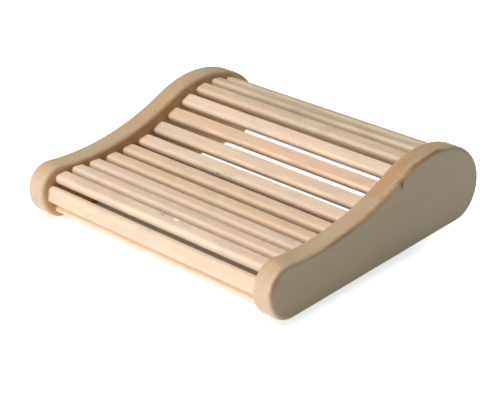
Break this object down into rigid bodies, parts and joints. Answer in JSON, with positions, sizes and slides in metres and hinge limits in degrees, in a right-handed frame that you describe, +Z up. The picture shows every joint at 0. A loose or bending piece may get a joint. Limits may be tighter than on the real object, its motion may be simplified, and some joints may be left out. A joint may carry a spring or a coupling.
{
  "type": "slatted headrest",
  "caption": "Free-standing contoured wooden rest: two rounded wedge-shaped side panels joined by fixed flat slats that follow an S-shaped curve.",
  "frame": {"origin": "on the floor, under the centre of the object's box", "axes": "+X along the slats towards the right side panel, +Y towards the tall rear end, +Z up"},
  "size_m": [0.4, 0.394, 0.115],
  "materials": {
    "panel_wood": "sanded smooth, unvarnished pale hardwood",
    "slat_wood": "planed smooth, unvarnished pale hardwood"
  },
  "bodies": {
    "root": {"left_side_panel": "panel_wood", "right_side_panel": "panel_wood", "slat_01": "slat_wood", "slat_02": "slat_wood", "slat_03": "slat_wood", "slat_04": "slat_wood", "slat_05": "slat_wood", "slat_06": "slat_wood", "slat_07": "slat_wood", "slat_08": "slat_wood", "slat_09": "slat_wood", "slat_10": "slat_wood", "slat_11": "slat_wood", "slat_12": "slat_wood", "slat_13": "slat_wood", "slat_14": "slat_wood", "slat_15": "slat_wood", "slat_16": "slat_wood", "slat_17": "slat_wood"}
  },
  "joints": []
}
